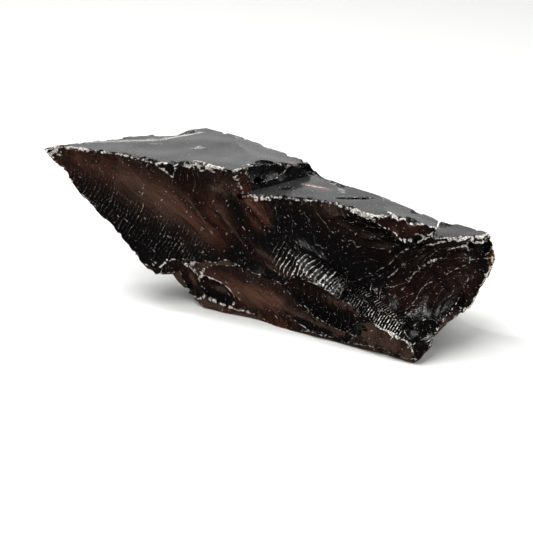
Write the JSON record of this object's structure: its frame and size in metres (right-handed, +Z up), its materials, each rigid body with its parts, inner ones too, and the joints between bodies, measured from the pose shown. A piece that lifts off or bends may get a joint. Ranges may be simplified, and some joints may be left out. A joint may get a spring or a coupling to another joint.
{
  "type": "obsidian chunk",
  "caption": "Long wedge-shaped chunk of broken volcanic glass with flat stepped top faces and hollow curved flake scars, lying on a flat face.",
  "frame": {"origin": "on the flat resting face, under the middle of the stone", "axes": "+X along the stone from its thin tip to its blunt end, +Z up from the resting face, carved front facing -Y"},
  "size_m": [0.165, 0.076, 0.058],
  "materials": {
    "obsidian": "glossy volcanic glass, with crushed white edges"
  },
  "bodies": {
    "root": {"obsidian_chunk": "obsidian"}
  },
  "joints": []
}
